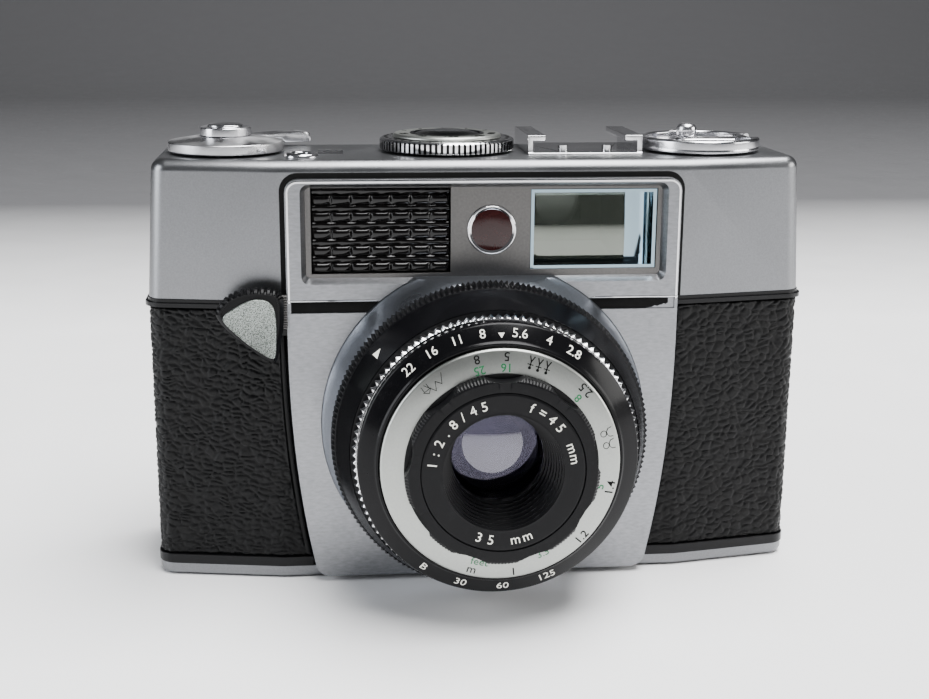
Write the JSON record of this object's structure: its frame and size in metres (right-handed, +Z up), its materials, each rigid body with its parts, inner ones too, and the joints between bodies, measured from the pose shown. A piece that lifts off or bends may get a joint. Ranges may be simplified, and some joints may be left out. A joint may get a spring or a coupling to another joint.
{
  "type": "viewfinder camera",
  "caption": "Compact film camera with a leaf-shutter lens, uncoupled light meter, direct viewfinder and hinged back.",
  "frame": {"origin": "mouth of the tripod socket, in the underside of the base", "axes": "+X to the right as seen from the front, +Y from the lens towards the back, +Z up"},
  "size_m": [0.128, 0.0649, 0.0875],
  "materials": {
    "casting": "die cast, painted matt black",
    "satin": "satin chrome on sheet metal, finely textured",
    "plate": "satin silver with polished bevels",
    "chrome": "polished",
    "steel": "machined",
    "black_ring": "gloss black anodised",
    "black_paint": "semi-gloss",
    "black_plastic": "moulded lens grid",
    "spool_plastic": "moulded",
    "leatherette": "pebbled black leatherette",
    "glass": "coated optical glass",
    "selenium": "selenium layer on a metal plate",
    "scale": "satin, engraved figures",
    "brass": "machined",
    "badge": "enamelled with a polished rim",
    "dial_paper": "printed disc",
    "needle": "painted",
    "inlay": "stippled"
  },
  "bodies": {
    "camera_body": {"body_casting": "casting", "top_cover": "satin", "base_plate": "satin", "trim_band": "black_paint", "base_rim": "black_paint", "leather_left": "leatherette", "leather_right": "leatherette", "face_plate": "plate", "window_tray": "plate", "badge": "badge", "lens_boss": "plate", "meter_window": "black_plastic", "selenium_cell": "selenium", "finder_reveal": "chrome", "finder_tube": "black_paint", "finder_front_lens": "glass", "finder_eye_lens": "glass", "accessory_shoe": "chrome", "shoe_rivets": "chrome", "cable_socket": "chrome", "counter_window": "glass", "tripod_bush": "steel", "base_screws": "chrome", "hinge_pin": "steel", "lever_pin": "steel", "shutter_housing": "black_ring", "front_bezel": "black_ring", "rear_lens": "glass", "meter_movement": "black_paint", "meter_glass": "glass", "advance_cap": "chrome"},
    "door": {"back_door": "casting", "back_leather": "leatherette", "pressure_plate": "steel"},
    "catch": {"door_catch": "chrome"},
    "advance": {"advance_lever": "chrome"},
    "spool": {"take_up_spool": "spool_plastic"},
    "sprocket_roller": {"sprocket": "steel"},
    "counter": {"counter_disc": "dial_paper"},
    "rewind_sleeve": {"rewind_bush": "brass"},
    "rewind": {"rewind_knob": "chrome"},
    "crank": {"rewind_crank": "chrome"},
    "crank_knob": {"crank_grip": "chrome"},
    "rewind_release": {"rewind_button": "chrome"},
    "release": {"release_lever": "black_ring", "release_inlay": "inlay"},
    "exposure_dial": {"dial_ring": "chrome"},
    "film_speed": {"film_speed_disc": "scale"},
    "needle": {"meter_needle": "needle"},
    "speed": {"speed_ring": "black_ring"},
    "aperture": {"aperture_ring": "chrome"},
    "focus": {"distance_scale": "scale", "focus_ring": "black_ring", "front_cell": "black_ring", "front_lens": "glass"},
    "leaf_1": {"shutter_blade_1": "steel"},
    "leaf_2": {"shutter_blade_2": "steel"},
    "leaf_3": {"shutter_blade_3": "steel"},
    "iris_1": {"iris_blade_1": "steel"},
    "iris_2": {"iris_blade_2": "steel"}
  },
  "joints": [
    {"name": "door_hinge", "type": "hinge", "parent": "camera_body", "child": "door", "pos_m": [-0.0616, 0.0136, 0.03], "axis": [0, 0, 1], "range_deg": [0, 110]},
    {"name": "catch_slide", "type": "slide", "parent": "camera_body", "child": "catch", "axis": [0, 0, 1], "range_m": [0, 0.003], "stiffness_N_per_m": 300, "springref_m": -0.002},
    {"name": "advance_stroke", "type": "hinge", "parent": "camera_body", "child": "advance", "pos_m": [-0.0484, 0, 0.083], "axis": [0, 0, 1], "range_deg": [0, 180], "stiffness_Nm_per_rad": 0.01, "springref_deg": -22.92},
    {"name": "sprocket_turn", "type": "hinge", "parent": "camera_body", "child": "sprocket_roller", "pos_m": [-0.0276, 0.0062, 0.03], "axis": [0, 0, 1], "range_deg": [0, 360]},
    {"name": "spool_turn", "type": "hinge", "parent": "camera_body", "child": "spool", "pos_m": [-0.0465, 0.0005, 0.03], "axis": [0, 0, 1], "range_deg": [0, 380]},
    {"name": "counter_turn", "type": "hinge", "parent": "camera_body", "child": "counter", "pos_m": [-0.022, 0.001, 0.0793], "axis": [0, 0, 1], "range_deg": [0, 330]},
    {"name": "rewind_lift", "type": "slide", "parent": "camera_body", "child": "rewind_sleeve", "axis": [0, 0, 1], "range_m": [0, 0.007]},
    {"name": "rewind_turn", "type": "hinge", "parent": "rewind_sleeve", "child": "rewind", "pos_m": [0.04475, 0.0005, 0.083], "axis": [0, 0, 1], "continuous": true},
    {"name": "crank_fold", "type": "hinge", "parent": "rewind", "child": "crank", "pos_m": [0.05355, 0.0005, 0.08415], "axis": [0, 1, 0], "range_deg": [0, 150]},
    {"name": "crank_knob_spin", "type": "hinge", "parent": "crank", "child": "crank_knob", "pos_m": [0.04205, 0.0005, 0.085], "axis": [0, 0, 1], "continuous": true},
    {"name": "rewind_release_push", "type": "slide", "parent": "camera_body", "child": "rewind_release", "axis": [0, 0, 1], "range_m": [0, 0.0012], "stiffness_N_per_m": 300, "springref_m": -0.0005},
    {"name": "release_press", "type": "hinge", "parent": "camera_body", "child": "release", "pos_m": [-0.024, -0.0163, 0.0515], "axis": [0, -1, 0], "range_deg": [0, 12], "stiffness_Nm_per_rad": 0.05, "springref_deg": -11.46},
    {"name": "dial_turn", "type": "hinge", "parent": "camera_body", "child": "exposure_dial", "pos_m": [-0.00565, 0.0015, 0.083], "axis": [0, 0, 1], "range_deg": [-150, 150]},
    {"name": "film_speed_turn", "type": "hinge", "parent": "exposure_dial", "child": "film_speed", "pos_m": [-0.00565, 0.0015, 0.085], "axis": [0, 0, 1], "range_deg": [-60, 60]},
    {"name": "needle_swing", "type": "hinge", "parent": "camera_body", "child": "needle", "pos_m": [-0.00565, -0.0025, 0.083], "axis": [0, 0, -1], "range_deg": [0, 70], "stiffness_Nm_per_rad": 0.00001, "springref_deg": -11.46},
    {"name": "speed_turn", "type": "hinge", "parent": "camera_body", "child": "speed", "pos_m": [0, -0.03, 0.0321], "axis": [0, -1, 0], "range_deg": [-20, 60]},
    {"name": "aperture_turn", "type": "hinge", "parent": "camera_body", "child": "aperture", "pos_m": [0, -0.038, 0.0321], "axis": [0, -1, 0], "range_deg": [0, 60]},
    {"name": "focus_turn", "type": "hinge", "parent": "camera_body", "child": "focus", "pos_m": [0, -0.045, 0.0321], "axis": [0, 1, 0], "range_deg": [-173, 37]},
    {"name": "leaf_1_turn", "type": "hinge", "parent": "camera_body", "child": "leaf_1", "pos_m": [0.013, -0.029, 0.0321], "axis": [0, 1, 0], "range_deg": [0, 70], "stiffness_Nm_per_rad": 0.0002, "springref_deg": -28.65},
    {"name": "leaf_2_turn", "type": "hinge", "parent": "camera_body", "child": "leaf_2", "pos_m": [-0.0065, -0.0294, 0.04336], "axis": [0, 1, 0], "range_deg": [0, 70]},
    {"name": "leaf_3_turn", "type": "hinge", "parent": "camera_body", "child": "leaf_3", "pos_m": [-0.0065, -0.0298, 0.02084], "axis": [0, 1, 0], "range_deg": [0, 70]},
    {"name": "iris_1_turn", "type": "hinge", "parent": "camera_body", "child": "iris_1", "pos_m": [0, -0.0312, 0.0461], "axis": [0, -1, 0], "range_deg": [0, 28.1]},
    {"name": "iris_2_turn", "type": "hinge", "parent": "camera_body", "child": "iris_2", "pos_m": [0, -0.0316, 0.0181], "axis": [0, -1, 0], "range_deg": [0, 28.1]}
  ],
  "couplings": [
    {"joint": "sprocket_turn", "follows": "advance_stroke", "ratio": 2},
    {"joint": "spool_turn", "follows": "advance_stroke", "ratio": 2.1},
    {"joint": "counter_turn", "follows": "advance_stroke", "ratio": 0.05},
    {"joint": "leaf_2_turn", "follows": "leaf_1_turn", "ratio": 1},
    {"joint": "leaf_3_turn", "follows": "leaf_1_turn", "ratio": 1},
    {"joint": "iris_1_turn", "follows": "aperture_turn", "ratio": 0.4667},
    {"joint": "iris_2_turn", "follows": "aperture_turn", "ratio": 0.4667}
  ]
}
